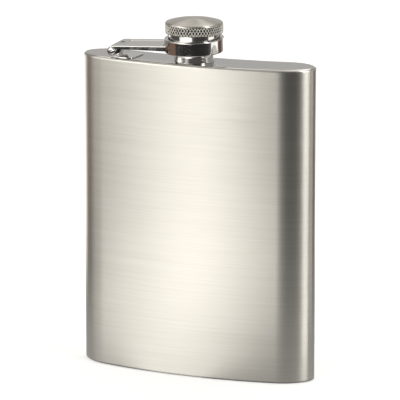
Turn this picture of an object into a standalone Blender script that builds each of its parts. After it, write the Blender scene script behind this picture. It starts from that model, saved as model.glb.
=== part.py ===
# Hip flask: kidney-section sheet-steel body with a hinged, captive screw cap.
# Frame: +Z up, origin in the middle of the underside, X across the width,
# the convex face looks along -Y. Dimensions below are in millimetres.

import math

import bmesh
import bpy
from mathutils import Matrix, Vector

MM = 0.001

# ---- driving dimensions (mm) ------------------------------------------------
BODY_H = 122.7          # height of the body, floor to top plate
BODY_W = 95.8           # width across the two rounded ends
BODY_T = 19.6           # thickness on the centre line
R_FRONT = 171.5         # bend radius of the convex face
R_BACK = 210.0          # bend radius of the concave face
R_TIP = 6.2             # radius at the very end of the section
TIP_Y = 4.65            # how far the tips sit behind the mid-thickness
R_SHOULDER_F = 17.6     # blend from the front face to the tip
R_SHOULDER_B = 11.5     # blend from the back face to the tip
SHEET = 0.45            # wall of the wrap
R_TOP_EDGE = 1.2        # rolled top rim
R_BOT_EDGE = 0.7        # rolled bottom rim
PLATE_T = 0.6           # top and bottom plates
GAP = 0.3               # clearance between pieces that meet
Y_SHIFT = -0.72         # puts the middle of the whole envelope on Y = 0

NECK_R = 7.3            # plain foot of the neck
NECK_STEP_H = 3.0       # height of the plain foot above the top plate
NECK_H = 8.5            # height of the neck above the top plate
NECK_BORE = 5.7
THREAD_ROOT = 6.45
THREAD_CREST = 6.95
THREAD_PITCH = 1.0

KNOB_R = 11.15
KNOB_BOTTOM = 10.8      # heights above the top plate
KNURL_TOP = 14.35
KNOB_SIDE_TOP = 15.3    # edge of the dome, above a rounded shoulder
KNOB_SHOULDER = 0.8     # how far in the dome starts
KNOB_APEX = 16.7
DOME_POWER = 2.4        # flatter in the middle than a ball
SLEEVE_R = 9.55
SLEEVE_BORE = 7.75
SLEEVE_BOTTOM = 5.45
SLEEVE_TOP = 11.3
SEAL_R = 7.45
RING_R = 10.15          # snap ring under the sleeve's shoulder

HINGE_X = -31.7         # hinge pin, across the thickness near the left end
HINGE_H = 2.95          # pin height above the top plate
ARM_RISE = 3.5          # degrees, the arm climbs towards the cap
ARM_ROLL = 3.0          # degrees, the pin is a little lower at the front
KNUCKLE_R = 2.0
PIN_R = 1.05
KNUCKLE_BORE = 1.35
ARM_HALF = 6.5          # half width of the arm
MID_HALF = 2.0          # half length of the middle knuckle
ARM_BOTTOM = -0.1       # underside and top of the arm above the pin
ARM_TOP = 2.0

COLLAR_X = 31.85        # centre of the collar, along the arm from the pin
COLLAR_Y = 0.18
COLLAR_R = 11.42
COLLAR_RISE = 0.6       # degrees, the collar climbs less than the arm that carries it
COLLAR_IN = 10.5
COLLAR_LIP = 9.95
COLLAR_HOLE = 8.2
COLLAR_RIM = 4.2        # heights in the collar's own frame
COLLAR_WALL_FOOT = -0.95
COLLAR_FOOT = -2.1

LEAF_T = 0.5
LEAF_NEAR = 2.4         # leaf starts this far right of the pin
LEAF_FAR = 8.6

STEEL_BRUSHED = ("brushed_steel", (0.62, 0.60, 0.57, 1.0), 0.32, 1.0)
STEEL_POLISHED = ("polished_steel", (0.70, 0.69, 0.67, 1.0), 0.08, 1.0)
STEEL_SATIN = ("satin_steel", (0.60, 0.57, 0.53, 1.0), 0.38, 1.0)
SILICONE = ("silicone", (0.82, 0.82, 0.80, 1.0), 0.55, 0.0)


# ---- scene ------------------------------------------------------------------
for old in list(bpy.data.objects):
    bpy.data.objects.remove(old, do_unlink=True)

COLL = bpy.context.scene.collection
MATS = {}


def material(spec):
    name, colour, rough, metal = spec
    if name not in MATS:
        m = bpy.data.materials.new(name)
        m.use_nodes = True
        bsdf = m.node_tree.nodes["Principled BSDF"]
        bsdf.inputs["Base Color"].default_value = colour
        bsdf.inputs["Roughness"].default_value = rough
        bsdf.inputs["Metallic"].default_value = metal
        m.diffuse_color = colour
        MATS[name] = m
    return MATS[name]


def make(name, verts, faces, spec, parent=None, location=(0, 0, 0)):
    """A named object from vertices and faces in mm."""
    mesh = bpy.data.meshes.new(name)
    bm = bmesh.new()
    vs = [bm.verts.new(Vector(v) * MM) for v in verts]
    for f in faces:
        bm.faces.new([vs[i] for i in f])
    bmesh.ops.recalc_face_normals(bm, faces=bm.faces[:])
    bm.to_mesh(mesh)
    bm.free()
    mesh.shade_smooth()
    mesh.set_sharp_from_angle(angle=math.radians(32))
    if spec:
        mesh.materials.append(material(spec))
    ob = bpy.data.objects.new(name, mesh)
    COLL.objects.link(ob)
    if parent:
        ob.parent = parent
    ob.location = Vector(location) * MM
    return ob


def loop_grid(rows, closed_rows):
    """Faces joining rows of equal length; closed_rows joins last to first."""
    faces = []
    n = len(rows[0])
    count = len(rows) if closed_rows else len(rows) - 1
    for i in range(count):
        a, b = i * n, ((i + 1) % len(rows)) * n
        for k in range(n):
            k2 = (k + 1) % n
            faces.append((a + k, a + k2, b + k2, b + k))
    return faces


def turned(name, profile, spec, segments, parent=None, location=(0, 0, 0), phase=0.0):
    """A closed (r, z) profile turned about Z; r = 0 points close on the axis."""
    verts, faces, idx = [], [], []
    for r, z in profile:
        if r < 1e-9:
            idx.append([len(verts)] * segments)
            verts.append((0, 0, z))
        else:
            row = []
            for k in range(segments):
                t = 2 * math.pi * (k + phase) / segments
                row.append(len(verts))
                verts.append((r * math.cos(t), r * math.sin(t), z))
            idx.append(row)
    m = len(profile)
    for i in range(m):
        a, b = idx[i], idx[(i + 1) % m]
        if profile[i][0] < 1e-9 and profile[(i + 1) % m][0] < 1e-9:
            continue
        for k in range(segments):
            k2 = (k + 1) % segments
            face = []
            for v in (a[k], a[k2], b[k2], b[k]):
                if v not in face:
                    face.append(v)
            if len(face) > 2:
                faces.append(face)
    return make(name, verts, faces, spec, parent, location)


def cutter(ob):
    ob.hide_render = True
    ob.display_type = "WIRE"
    return ob


def boolean(ob, other, operation):
    mod = ob.modifiers.new(operation.lower() + "_" + other.name, "BOOLEAN")
    mod.operation = operation
    mod.solver = "EXACT"
    mod.object = other


# ---- body section -----------------------------------------------------------
def circles_meet(c0, r0, c1, r1):
    dx, dy = c1[0] - c0[0], c1[1] - c0[1]
    d = math.hypot(dx, dy)
    a = (r0 * r0 - r1 * r1 + d * d) / (2 * d)
    h = math.sqrt(max(r0 * r0 - a * a, 0.0))
    mx, my = c0[0] + dx * a / d, c0[1] + dy * a / d
    p = (mx - dy * h / d, my + dx * h / d)
    q = (mx + dy * h / d, my - dx * h / d)
    return p if p[0] < q[0] else q


def angle(c0, c1):
    return math.atan2(c1[1] - c0[1], c1[0] - c0[0])


C_FRONT = (0.0, -BODY_T / 2 + R_FRONT)
C_BACK = (0.0, BODY_T / 2 + R_BACK)
C_TIP = (BODY_W / 2 - R_TIP, TIP_Y)
C_SHF = circles_meet(C_FRONT, R_FRONT - R_SHOULDER_F, C_TIP, R_SHOULDER_F - R_TIP)
C_SHB = circles_meet(C_BACK, R_BACK + R_SHOULDER_B, C_TIP, R_SHOULDER_B - R_TIP)
A_FRONT = angle(C_FRONT, C_SHF)
A_SHF = angle(C_SHF, C_TIP)
A_TIP = angle(C_SHB, C_TIP)
A_BACK = angle(C_BACK, C_SHB)


def section(inset):
    """Outline of the body, moved inwards by inset; right half, then mirrored."""
    def arc(c, r, t0, t1, n):
        return [(c[0] + r * math.cos(t0 + (t1 - t0) * i / n),
                 c[1] + r * math.sin(t0 + (t1 - t0) * i / n)) for i in range(n + 1)]

    half = arc(C_FRONT, R_FRONT - inset, -math.pi / 2, A_FRONT, 8)
    half += arc(C_SHF, R_SHOULDER_F - inset, A_FRONT, A_SHF, 5)[1:]
    half += arc(C_TIP, R_TIP - inset, A_SHF, A_TIP, 7)[1:]
    half += arc(C_SHB, R_SHOULDER_B - inset, A_TIP, A_BACK + math.pi, 5)[1:]
    half += arc(C_BACK, R_BACK + inset, A_BACK, -math.pi / 2, 8)[1:]
    left = [(-x, y) for x, y in half[1:-1][::-1]]
    return half + left


def lofted(name, profile, spec):
    """Closed ring of (inset, z) rows swept round the body section."""
    verts = []
    for inset, z in profile:
        verts += [(x, y, z) for x, y in section(inset)]
    n = len(section(0.0))
    rows = [list(range(i * n, (i + 1) * n)) for i in range(len(profile))]
    return make(name, verts, loop_grid(rows, True), spec, location=(0, Y_SHIFT, 0))


def plate(name, inset, z0, z1, spec):
    lo = [(x, y, z0) for x, y in section(inset)]
    hi = [(x, y, z1) for x, y in section(inset)]
    n = len(lo)
    faces = [tuple(range(n))[::-1], tuple(range(n, 2 * n))]
    faces += [(k, (k + 1) % n, n + (k + 1) % n, n + k) for k in range(n)]
    return make(name, lo + hi, faces, spec, location=(0, Y_SHIFT, 0))


# Wrap: outer side from the bottom rim to the top rim, then back down inside.
outer = [(R_BOT_EDGE * (1 - math.cos(t)), 0.1 + R_BOT_EDGE * (1 - math.sin(t)))
         for t in (math.radians(90), math.radians(45), 0.0)]
outer[0] = (R_BOT_EDGE, 0.1)
outer += [(R_TOP_EDGE * (1 - math.cos(t)), BODY_H - R_TOP_EDGE * (1 - math.sin(t)))
          for t in [math.radians(a) for a in (0, 30, 60, 90)]]
inner = [(R_TOP_EDGE, BODY_H - SHEET), (SHEET + 0.25, BODY_H - R_TOP_EDGE + 0.15),
         (SHEET, BODY_H - R_TOP_EDGE - 0.4),
         (SHEET, R_BOT_EDGE + 0.5), (R_BOT_EDGE, 0.1 + SHEET)]
lofted("body_shell", outer + inner, STEEL_BRUSHED)

# Plates lie inside the rolled rims; the bottom plate's underside is the floor face.
top = plate("top_plate", R_TOP_EDGE + GAP, BODY_H - PLATE_T, BODY_H, STEEL_BRUSHED)
plate("bottom_plate", R_BOT_EDGE + GAP, 0.0, PLATE_T, STEEL_BRUSHED)
hole = cutter(turned("neck_hole_cutter", [(0, -3), (6.7, -3), (6.7, 3), (0, 3)], None, 36,
                     location=(0, Y_SHIFT, BODY_H)))
boolean(top, hole, "DIFFERENCE")

# ---- neck -------------------------------------------------------------------
AXIS = (0, Y_SHIFT, BODY_H)


def neck():
    seg = 36
    z0, z1 = NECK_STEP_H + 0.35, NECK_H - 0.5
    rows_n = 22
    profile = [(NECK_BORE, NECK_H), (NECK_BORE, -1.0), (6.4, -1.0), (6.4, GAP),
               (NECK_R, GAP), (NECK_R, NECK_STEP_H - 0.3), (NECK_R - 0.3, NECK_STEP_H),
               (THREAD_ROOT, z0 - 0.1)]
    verts = []
    for r, z in profile:
        verts += [(r * math.cos(2 * math.pi * k / seg), r * math.sin(2 * math.pi * k / seg), z)
                  for k in range(seg)]
    for i in range(rows_n):
        z = z0 + (z1 - z0) * i / (rows_n - 1)
        for k in range(seg):
            t = 2 * math.pi * k / seg
            u = ((z - z0) / (THREAD_PITCH) - k / seg) % 1.0
            ridge = max(0.0, 1.0 - abs(u - 0.5) / 0.35)
            fade = min(1.0, (z - z0) / 0.8, (z1 - z) / 0.6)
            r = THREAD_ROOT + (THREAD_CREST - THREAD_ROOT) * min(1.0, 1.4 * ridge) * max(0.0, fade)
            verts.append((r * math.cos(t), r * math.sin(t), z))
    verts += [((THREAD_ROOT - 0.3) * math.cos(2 * math.pi * k / seg),
               (THREAD_ROOT - 0.3) * math.sin(2 * math.pi * k / seg), NECK_H) for k in range(seg)]
    count = len(profile) + rows_n + 1
    rows = [list(range(i * seg, (i + 1) * seg)) for i in range(count)]
    return make("neck_tube", verts, loop_grid(rows, True), STEEL_POLISHED, location=AXIS)


neck()

# ---- cap --------------------------------------------------------------------
dome = []
for share in (1.0, 0.86, 0.68, 0.45, 0.0):
    dome.append(((KNOB_R - KNOB_SHOULDER) * share,
                 KNOB_APEX - (KNOB_APEX - KNOB_SIDE_TOP) * share ** DOME_POWER))
turned("cap_knob", [(0, SLEEVE_TOP + GAP), (SLEEVE_R + GAP, SLEEVE_TOP + GAP),
                    (SLEEVE_R + GAP, KNOB_BOTTOM), (KNOB_R - 0.4, KNOB_BOTTOM),
                    (KNOB_R, KNOB_BOTTOM + 0.4), (KNOB_R, KNURL_TOP),
                    (KNOB_R - 0.25, KNURL_TOP + 0.65)] + dome,
       STEEL_SATIN, 48, location=AXIS)

turned("cap_sleeve", [(0, SLEEVE_TOP), (0, SLEEVE_TOP - 1.0), (SLEEVE_BORE, SLEEVE_TOP - 1.0),
                      (SLEEVE_BORE, SLEEVE_BOTTOM), (8.75, SLEEVE_BOTTOM),
                      (8.75, SLEEVE_BOTTOM + 0.9), (SLEEVE_R, SLEEVE_BOTTOM + 0.9),
                      (SLEEVE_R, SLEEVE_TOP)][::-1],
       STEEL_POLISHED, 44, location=AXIS)

turned("cap_snap_ring", [(9.05, SLEEVE_BOTTOM + 0.1), (RING_R - 0.15, SLEEVE_BOTTOM + 0.1),
                         (RING_R, SLEEVE_BOTTOM + 0.25), (RING_R, SLEEVE_BOTTOM + 0.45),
                         (RING_R - 0.15, SLEEVE_BOTTOM + 0.6), (9.05, SLEEVE_BOTTOM + 0.6)],
       STEEL_POLISHED, 44, location=AXIS)

turned("cap_seal", [(0, NECK_H + GAP), (SEAL_R, NECK_H + GAP), (SEAL_R, SLEEVE_TOP - 1.0 - GAP),
                    (0, SLEEVE_TOP - 1.0 - GAP)], SILICONE, 36, location=AXIS)

# ---- hinge and arm ----------------------------------------------------------
# Everything on the arm is drawn square to the pin and carried by this empty.
pivot = bpy.data.objects.new("arm_pivot", None)
COLL.objects.link(pivot)
pivot.matrix_world = (Matrix.Translation(Vector((HINGE_X, Y_SHIFT, BODY_H + HINGE_H)) * MM)
                      @ Matrix.Rotation(math.radians(ARM_ROLL), 4, "X")
                      @ Matrix.Rotation(math.radians(-ARM_RISE), 4, "Y"))
collar_pivot = bpy.data.objects.new("collar_pivot", None)
COLL.objects.link(collar_pivot)
collar_pivot.matrix_world = (pivot.matrix_world
                             @ Matrix.Translation(Vector((COLLAR_X, COLLAR_Y, 0)) * MM)
                             @ Matrix.Rotation(math.radians(ARM_RISE - COLLAR_RISE), 4, "Y"))
fixed_pivot = bpy.data.objects.new("leaf_pivot", None)
COLL.objects.link(fixed_pivot)
fixed_pivot.matrix_world = (Matrix.Translation(Vector((HINGE_X, Y_SHIFT, BODY_H + HINGE_H)) * MM)
                            @ Matrix.Rotation(math.radians(ARM_ROLL), 4, "X"))
flat_pivot = bpy.data.objects.new("leaf_flat_pivot", None)
COLL.objects.link(flat_pivot)
flat_pivot.matrix_world = Matrix.Translation(Vector((HINGE_X, Y_SHIFT, BODY_H)) * MM)


def prism(name, outline, z0, z1, spec, parent):
    """An outline in X, Y raised from z0 to z1."""
    n = len(outline)
    verts = [(x, y, z0) for x, y in outline] + [(x, y, z1) for x, y in outline]
    faces = [tuple(range(n))[::-1], tuple(range(n, 2 * n))]
    faces += [(k, (k + 1) % n, n + (k + 1) % n, n + k) for k in range(n)]
    return make(name, verts, faces, spec, parent)


def rod(name, r, y0, y1, spec, parent, segments=20):
    """A round bar along Y."""
    verts = []
    for y in (y0, y1):
        for k in range(segments):
            t = 2 * math.pi * (k + 0.5) / segments
            verts.append((r * math.cos(t), y, r * math.sin(t)))
    n = segments
    faces = [tuple(range(n)), tuple(range(n, 2 * n))[::-1]]
    faces += [(k, (k + 1) % n, n + (k + 1) % n, n + k) for k in range(n)]
    return make(name, verts, faces, spec, parent)


# Arm: flat strip, two rolled knuckles, a notch for the middle knuckle and an
# end shaped to the collar.
strip = [(0.0, -ARM_HALF), (26.0, -ARM_HALF), (26.0, ARM_HALF), (0.0, ARM_HALF)]
arm = prism("hinge_arm", strip, ARM_BOTTOM, ARM_TOP, STEEL_POLISHED, pivot)
for side, tag in ((-1, "front"), (1, "back")):
    lo, hi = sorted((side * (MID_HALF + GAP), side * ARM_HALF))
    knuckle = cutter(rod("knuckle_add_" + tag, KNUCKLE_R, lo, hi, None, pivot))
    boolean(arm, knuckle, "UNION")
boolean(arm, cutter(rod("pin_bore_cutter", KNUCKLE_BORE, -9, 9, None, pivot)), "DIFFERENCE")
notch = cutter(prism("notch_cutter", [(-3, -MID_HALF - GAP), (2.35, -MID_HALF - GAP),
                                      (2.35, MID_HALF + GAP), (-3, MID_HALF + GAP)],
                     -3, 3, None, pivot))
boolean(arm, notch, "DIFFERENCE")
boolean(arm, cutter(turned("collar_room_cutter", [(0, -4), (COLLAR_R + GAP, -4),
                                                  (COLLAR_R + GAP, 6), (0, 6)], None, 64,
                           collar_pivot)), "DIFFERENCE")

# Collar: thin cup with a rolled-in lip and an open floor that passes the neck.
turned("collar_cup", [(COLLAR_LIP + 0.2, COLLAR_RIM), (COLLAR_LIP, COLLAR_RIM - 0.15),
                      (COLLAR_LIP, COLLAR_RIM - 0.5), (COLLAR_IN, COLLAR_RIM - 0.8),
                      (COLLAR_IN, COLLAR_WALL_FOOT + 0.45), (COLLAR_HOLE, COLLAR_FOOT + 0.6),
                      (COLLAR_HOLE, COLLAR_FOOT), (COLLAR_HOLE + 0.5, COLLAR_FOOT),
                      (COLLAR_R, COLLAR_WALL_FOOT), (COLLAR_R, COLLAR_RIM - 0.35),
                      (COLLAR_R - 0.35, COLLAR_RIM)],
       STEEL_POLISHED, 52, collar_pivot)

# Leaf: flat foot on the top plate, a raised tongue and the middle knuckle.
corner = 3.0
outline = [(LEAF_NEAR, -ARM_HALF)]
for i in range(5):
    t = math.radians(-90 + 90 * i / 4)
    outline.append((LEAF_FAR - corner + corner * math.cos(t), -ARM_HALF + corner + corner * math.sin(t)))
for i in range(5):
    t = math.radians(90 * i / 4)
    outline.append((LEAF_FAR - corner + corner * math.cos(t), ARM_HALF - corner + corner * math.sin(t)))
outline += [(LEAF_NEAR, ARM_HALF)]
leaf = prism("hinge_leaf", outline, GAP, GAP + LEAF_T, STEEL_POLISHED, flat_pivot)
boolean(leaf, cutter(prism("tongue_add", [(-1.4, -MID_HALF), (4.0, -MID_HALF),
                                          (4.0, MID_HALF), (-1.4, MID_HALF)],
                           GAP + 0.02, GAP + LEAF_T + 0.05, None, flat_pivot)), "UNION")
boolean(leaf, cutter(prism("web_add", [(-1.3, -MID_HALF + 0.05), (1.5, -MID_HALF + 0.05),
                                       (1.5, MID_HALF - 0.05), (-1.3, MID_HALF - 0.05)],
                           GAP + 0.1, HINGE_H - 0.2, None, flat_pivot)), "UNION")
boolean(leaf, cutter(rod("middle_knuckle_add", KNUCKLE_R, -MID_HALF + 0.02, MID_HALF - 0.02, None,
                         fixed_pivot)), "UNION")
boolean(leaf, cutter(rod("leaf_bore_cutter", KNUCKLE_BORE, -4, 4, None, fixed_pivot)), "DIFFERENCE")

rod("hinge_pin", PIN_R, -ARM_HALF - 0.1, ARM_HALF + 0.1, STEEL_POLISHED, fixed_pivot, 16)
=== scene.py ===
import math

import bmesh
import bpy
import numpy as np
from mathutils import Matrix, Vector


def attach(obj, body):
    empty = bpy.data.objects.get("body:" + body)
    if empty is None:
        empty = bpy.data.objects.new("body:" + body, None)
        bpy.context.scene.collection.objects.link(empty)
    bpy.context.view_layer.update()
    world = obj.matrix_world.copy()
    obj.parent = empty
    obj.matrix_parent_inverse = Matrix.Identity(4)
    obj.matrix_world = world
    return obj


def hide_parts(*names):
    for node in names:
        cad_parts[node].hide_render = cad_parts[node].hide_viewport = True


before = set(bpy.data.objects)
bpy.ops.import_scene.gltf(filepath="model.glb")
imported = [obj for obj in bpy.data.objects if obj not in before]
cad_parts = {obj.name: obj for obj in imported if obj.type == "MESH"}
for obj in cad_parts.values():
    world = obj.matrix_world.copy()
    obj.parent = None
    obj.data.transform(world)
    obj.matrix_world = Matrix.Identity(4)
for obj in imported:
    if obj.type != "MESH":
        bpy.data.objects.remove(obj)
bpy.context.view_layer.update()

MM = 0.001

# ---- the part's own dimensions, in millimetres -------------------------------
BODY_H = 122.7
BODY_W = 95.8
BODY_T = 19.6
R_FRONT = 171.5
R_BACK = 210.0
R_TIP = 6.2
TIP_Y = 4.65
R_SHOULDER_F = 17.6
R_SHOULDER_B = 11.5
SHEET = 0.45
R_TOP_EDGE = 1.2
R_BOT_EDGE = 0.7
PLATE_T = 0.6
Y_SHIFT = -0.72

NECK_R = 7.3
NECK_STEP_H = 3.0
NECK_H = 8.5
NECK_BORE = 5.7
THREAD_ROOT = 6.45
THREAD_CREST = 6.95
THREAD_PITCH = 1.0

KNOB_R = 11.15
KNOB_BOTTOM = 10.8
KNURL_TOP = 14.35
KNOB_SIDE_TOP = 15.3
KNOB_SHOULDER = 0.8
KNOB_APEX = 16.7
DOME_POWER = 2.4
SLEEVE_R = 9.55
SLEEVE_BORE = 7.75
SLEEVE_BOTTOM = 5.45
SLEEVE_TOP = 11.3
SEAL_R = 7.45
RING_R = 10.15

HINGE_X = -31.7
HINGE_H = 2.95
ARM_RISE = 3.5
ARM_ROLL = 3.0
KNUCKLE_R = 2.0
PIN_R = 1.05
KNUCKLE_BORE = 1.33
ARM_HALF = 6.5
MID_HALF = 2.0
ARM_BOTTOM = -0.1
ARM_TOP = 2.0

COLLAR_X = 31.85
COLLAR_Y = 0.18
COLLAR_R = 11.42
COLLAR_RISE = 0.6
COLLAR_IN = 10.5
COLLAR_LIP = 9.95
COLLAR_HOLE = 8.2
COLLAR_RIM = 4.2
COLLAR_WALL_FOOT = -0.95
COLLAR_FOOT = -2.1

LEAF_T = 0.3
LEAF_NEAR = 2.4
LEAF_FAR = 8.6
SEAM = 0.05

AXIS = Vector((0, Y_SHIFT, BODY_H))
PIVOT = (Matrix.Translation(Vector((HINGE_X, Y_SHIFT, BODY_H + HINGE_H)))
         @ Matrix.Rotation(math.radians(ARM_ROLL), 4, "X"))
ARM = PIVOT @ Matrix.Rotation(math.radians(-ARM_RISE), 4, "Y")
CUP = (Matrix.Translation(Vector((COLLAR_X, COLLAR_Y, 0)))
       @ Matrix.Rotation(math.radians(ARM_RISE - COLLAR_RISE), 4, "Y"))
SCENE = bpy.context.scene.collection


# ---- mesh helpers ------------------------------------------------------------
def build(name, verts, faces, matrix=None, sharp=32.0, weld=0.0):
    """A closed object from vertices in mm; matrix places them in the row frame (mm)."""
    mesh = bpy.data.meshes.new(name)
    bm = bmesh.new()
    if matrix is None:
        matrix = Matrix.Identity(4)
    vs = [bm.verts.new((matrix @ Vector(v)) * MM) for v in verts]
    for f in faces:
        try:
            bm.faces.new([vs[i] for i in f])
        except ValueError:
            pass
    if weld:
        bmesh.ops.remove_doubles(bm, verts=bm.verts[:], dist=weld * MM)
    bmesh.ops.recalc_face_normals(bm, faces=bm.faces[:])
    bm.to_mesh(mesh)
    bm.free()
    mesh.shade_smooth()
    mesh.set_sharp_from_angle(angle=math.radians(sharp))
    ob = bpy.data.objects.new(name, mesh)
    SCENE.objects.link(ob)
    return ob


def grid_faces(count, n, closed_rows=True, closed_cols=True, start=0):
    faces = []
    for i in range(count if closed_rows else count - 1):
        a, b = start + i * n, start + ((i + 1) % count) * n
        for k in range(n if closed_cols else n - 1):
            k2 = (k + 1) % n
            faces.append((a + k, a + k2, b + k2, b + k))
    return faces


def rounded(points, radius, steps=5, closed=False):
    """A polyline with its corners rounded; radius is one number or one per point."""
    pts = [Vector(p) for p in points]
    n = len(pts)
    out = []
    for i in range(n):
        r = radius[i] if isinstance(radius, (list, tuple)) else radius
        if not closed and i in (0, n - 1) or r <= 0:
            out.append(tuple(pts[i]))
            continue
        a, p, b = pts[i - 1], pts[i], pts[(i + 1) % n]
        u, v = (a - p), (b - p)
        lu, lv = u.length, v.length
        if lu < 1e-6 or lv < 1e-6:
            out.append(tuple(p))
            continue
        u, v = u / lu, v / lv
        cosine = max(-1.0, min(1.0, u.dot(v)))
        half = math.acos(cosine) / 2
        if half > math.radians(88.5):
            out.append(tuple(p))
            continue
        d = min(r / math.tan(half), lu * 0.48, lv * 0.48)
        rr = d * math.tan(half)
        c = p + (u + v).normalized() * (rr / math.sin(half))
        s, e = p + u * d, p + v * d
        t0 = math.atan2(s.y - c.y, s.x - c.x)
        t1 = math.atan2(e.y - c.y, e.x - c.x)
        dt = (t1 - t0 + math.pi) % (2 * math.pi) - math.pi
        for k in range(steps + 1):
            t = t0 + dt * k / steps
            out.append((c.x + rr * math.cos(t), c.y + rr * math.sin(t)))
    return out


def supported(points, reach=0.12, closed=True):
    """Extra points near both ends of every long straight run, so that smooth shading
    keeps the run flat and turns only at its corners."""
    out = []
    n = len(points)
    for i in range(n):
        a = Vector(points[i])
        out.append(tuple(a))
        if i == n - 1 and not closed:
            break
        b = Vector(points[(i + 1) % n])
        d = (b - a).length
        if d > reach * 3:
            out.append(tuple(a + (b - a) * (reach / d)))
            out.append(tuple(b + (a - b) * (reach / d)))
    return out


def lathe(name, profile, segments, matrix, sharp=32.0, radial=None):
    """A closed (r, z) profile turned about Z; radial(r, z, t) may change a radius."""
    verts, faces, idx = [], [], []
    for r, z in profile:
        if r < 1e-9:
            idx.append([len(verts)] * segments)
            verts.append((0, 0, z))
            continue
        row = []
        for k in range(segments):
            t = 2 * math.pi * k / segments
            rr = radial(r, z, t) if radial else r
            row.append(len(verts))
            verts.append((rr * math.cos(t), rr * math.sin(t), z))
        idx.append(row)
    m = len(profile)
    for i in range(m):
        a, b = idx[i], idx[(i + 1) % m]
        if profile[i][0] < 1e-9 and profile[(i + 1) % m][0] < 1e-9:
            continue
        for k in range(segments):
            k2 = (k + 1) % segments
            face = []
            for v in (a[k], a[k2], b[k2], b[k]):
                if v not in face:
                    face.append(v)
            if len(face) > 2:
                faces.append(face)
    return build(name, verts, faces, matrix, sharp)


def baked(ob):
    """The object with its modifiers applied and its helpers removed."""
    helpers = [m.object for m in ob.modifiers if m.type == "BOOLEAN"]
    bpy.context.view_layer.update()
    dg = bpy.context.evaluated_depsgraph_get()
    mesh = bpy.data.meshes.new_from_object(ob.evaluated_get(dg))
    ob.modifiers.clear()
    ob.data = mesh
    for h in helpers:
        bpy.data.objects.remove(h, do_unlink=True)
    return ob


def combine(ob, other, operation):
    m = ob.modifiers.new(operation.lower(), "BOOLEAN")
    m.operation = operation
    m.solver = "EXACT"
    m.object = other
    other.hide_render = True
    return ob


def soften(ob, width, segments=3, angle=30):
    m = ob.modifiers.new("bevel", "BEVEL")
    m.width = width * MM
    m.segments = segments
    m.limit_method = "ANGLE"
    m.angle_limit = math.radians(angle)
    m.miter_outer = "MITER_ARC"
    m.harden_normals = False
    return baked(ob)


def smooth(ob, sharp=32.0):
    """Smooth shading in which the large faces keep their own direction."""
    ob.data.shade_smooth()
    ob.data.set_sharp_from_angle(angle=math.radians(sharp))
    m = ob.modifiers.new("even", "WEIGHTED_NORMAL")
    m.mode = "FACE_AREA"
    m.weight = 100
    m.thresh = 0.01
    m.keep_sharp = True
    return baked(ob)


def planar_uv(ob, along_u, along_v):
    """UVs in metres from two directions, so the brushing has a tangent to follow."""
    uv = ob.data.uv_layers.new(name="brush")
    u, v = Vector(along_u), Vector(along_v)
    for loop in ob.data.loops:
        co = ob.data.vertices[loop.vertex_index].co
        uv.data[loop.index].uv = (co.dot(u), co.dot(v))


# ---- body section ------------------------------------------------------------
def circles_meet(c0, r0, c1, r1):
    dx, dy = c1[0] - c0[0], c1[1] - c0[1]
    d = math.hypot(dx, dy)
    a = (r0 * r0 - r1 * r1 + d * d) / (2 * d)
    h = math.sqrt(max(r0 * r0 - a * a, 0.0))
    mx, my = c0[0] + dx * a / d, c0[1] + dy * a / d
    p = (mx - dy * h / d, my + dx * h / d)
    q = (mx + dy * h / d, my - dx * h / d)
    return p if p[0] < q[0] else q


def angle(c0, c1):
    return math.atan2(c1[1] - c0[1], c1[0] - c0[0])


C_FRONT = (0.0, -BODY_T / 2 + R_FRONT)
C_BACK = (0.0, BODY_T / 2 + R_BACK)
C_TIP = (BODY_W / 2 - R_TIP, TIP_Y)
C_SHF = circles_meet(C_FRONT, R_FRONT - R_SHOULDER_F, C_TIP, R_SHOULDER_F - R_TIP)
C_SHB = circles_meet(C_BACK, R_BACK + R_SHOULDER_B, C_TIP, R_SHOULDER_B - R_TIP)
A_FRONT = angle(C_FRONT, C_SHF)
A_SHF = angle(C_SHF, C_TIP)
A_TIP = angle(C_SHB, C_TIP)
A_BACK = angle(C_BACK, C_SHB)


def section(inset, fine=1.0):
    def arc(c, r, t0, t1, n):
        n = max(2, int(n * fine))
        return [(c[0] + r * math.cos(t0 + (t1 - t0) * i / n),
                 c[1] + r * math.sin(t0 + (t1 - t0) * i / n)) for i in range(n + 1)]

    half = arc(C_FRONT, R_FRONT - inset, -math.pi / 2, A_FRONT, 60)
    half += arc(C_SHF, R_SHOULDER_F - inset, A_FRONT, A_SHF, 30)[1:]
    half += arc(C_TIP, R_TIP - inset, A_SHF, A_TIP, 36)[1:]
    half += arc(C_SHB, R_SHOULDER_B - inset, A_TIP, A_BACK + math.pi, 30)[1:]
    half += arc(C_BACK, R_BACK + inset, A_BACK, -math.pi / 2, 60)[1:]
    left = [(-x, y) for x, y in half[1:-1][::-1]]
    return half + left


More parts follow.
